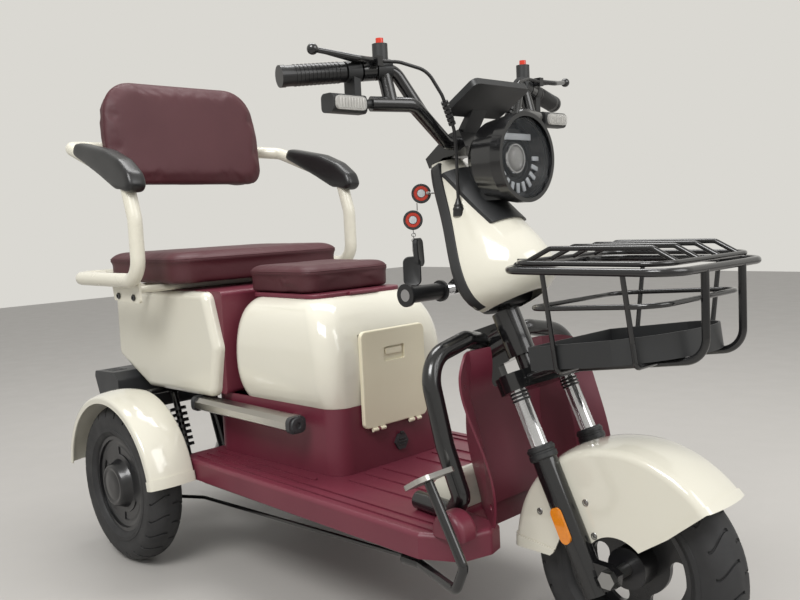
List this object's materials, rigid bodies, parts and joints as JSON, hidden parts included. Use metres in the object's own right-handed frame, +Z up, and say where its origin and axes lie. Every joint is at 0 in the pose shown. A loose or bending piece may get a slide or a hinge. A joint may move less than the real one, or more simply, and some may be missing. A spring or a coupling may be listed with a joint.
{
  "type": "three wheeled electric leisure tricycle",
  "caption": "Electric three wheeled leisure tricycle with steered front wheel, driver's seat, rear bench with armrests, leg shield and front basket.",
  "frame": {"origin": "on the ground below the middle of the tricycle's length and width", "axes": "+X forward, +Y to the rider's left, +Z up"},
  "size_m": [1.5915, 0.747, 1.1292],
  "materials": {
    "tyre": "matt black rubber",
    "rim": "satin black cast wheel",
    "black_metal": "gloss black powder coat",
    "cream_metal": "gloss cream powder coat",
    "steel": "zinc plated",
    "chrome": "polished",
    "satin_aluminium": "satin anodised",
    "cream_plastic": "gloss cream",
    "burgundy_plastic": "gloss burgundy",
    "black_plastic": "fine grain black",
    "dark_plastic": "dark grey grain",
    "red_plastic": "gloss red",
    "amber_plastic": "amber reflector",
    "clear_lens": "clear ribbed lens",
    "lamp_glass": "tinted glossy glass",
    "foam_rubber": "black foam sleeve",
    "leatherette": "burgundy leatherette with sewn seams"
  },
  "bodies": {
    "root": {"rear_axle": "black_metal", "frame": "black_metal", "swing_arms": "black_metal", "rear_shocks": "black_metal", "neck": "black_metal", "leg_guards": "black_metal", "floor_board": "burgundy_plastic", "lower_body": "burgundy_plastic", "front_box": "cream_plastic", "battery": "dark_plastic", "charge_port": "dark_plastic", "rear_body": "burgundy_plastic", "rear_side_panels": "cream_plastic", "side_rails": "satin_aluminium", "rail_caps": "dark_plastic", "rear_fenders": "cream_plastic", "tail_cover": "dark_plastic", "rear_cushion": "leatherette", "seat_back": "leatherette", "seat_frame": "cream_metal", "armrest_pads": "foam_rubber", "leg_shield": "burgundy_plastic", "brake_pedal": "black_metal", "pedal_plate": "satin_aluminium", "foot_cover": "cream_plastic", "tail_lamps": "red_plastic"},
    "rear_left_wheel": {"rear_left_tyre": "tyre", "rear_left_rim": "rim"},
    "rear_right_wheel": {"rear_right_tyre": "tyre", "rear_right_rim": "rim"},
    "steering": {"steering_stem": "black_metal", "handlebar": "black_metal", "hand_grips": "foam_rubber", "brake_levers": "black_metal", "switch_pods": "black_plastic", "horn_buttons": "red_plastic", "turn_signals": "black_plastic", "signal_lenses": "clear_lens", "column_shell": "cream_plastic", "column_cover": "black_plastic", "headlight_bowl": "black_metal", "headlight_glass": "lamp_glass", "headlight_saddle": "black_plastic", "display": "black_plastic", "fork_crown": "black_metal", "fork_tubes": "chrome", "fork_legs": "black_metal", "front_axle": "steel", "front_fender": "cream_plastic", "reflectors": "amber_plastic", "basket_frame": "black_metal", "basket_tray": "black_plastic", "grab_bar": "chrome", "brake_cables": "foam_rubber"},
    "front_wheel": {"front_tyre": "tyre", "front_rim": "rim"},
    "basket_lid": {"basket_lid": "black_metal"},
    "hatch": {"hatch_door": "cream_plastic"},
    "front_seat": {"seat_pan": "burgundy_plastic", "front_cushion": "leatherette"}
  },
  "joints": [
    {"name": "rear_left_spin", "type": "hinge", "parent": "root", "child": "rear_left_wheel", "pos_m": [-0.505, 0.315, 0.18], "axis": [0, 1, 0], "continuous": true},
    {"name": "rear_right_spin", "type": "hinge", "parent": "root", "child": "rear_right_wheel", "pos_m": [-0.505, -0.315, 0.18], "axis": [0, 1, 0], "continuous": true},
    {"name": "steer", "type": "hinge", "parent": "root", "child": "steering", "pos_m": [0.631, 0, 0], "axis": [-0.4226, 0, 0.9063], "range_deg": [-28, 28]},
    {"name": "front_spin", "type": "hinge", "parent": "steering", "child": "front_wheel", "pos_m": [0.615, 0, 0.18], "axis": [0, 1, 0], "continuous": true},
    {"name": "basket_lid_hinge", "type": "hinge", "parent": "steering", "child": "basket_lid", "pos_m": [0.467, 0, 0.667], "axis": [0, -1, 0], "range_deg": [0, 75]},
    {"name": "hatch_hinge", "type": "hinge", "parent": "root", "child": "hatch", "pos_m": [0.0655, 0, 0.3321], "axis": [0, 1, 0], "range_deg": [0, 80]},
    {"name": "seat_hinge", "type": "hinge", "parent": "root", "child": "front_seat", "pos_m": [-0.021, 0, 0.6043], "axis": [0, 1, 0], "range_deg": [0, 70]}
  ]
}
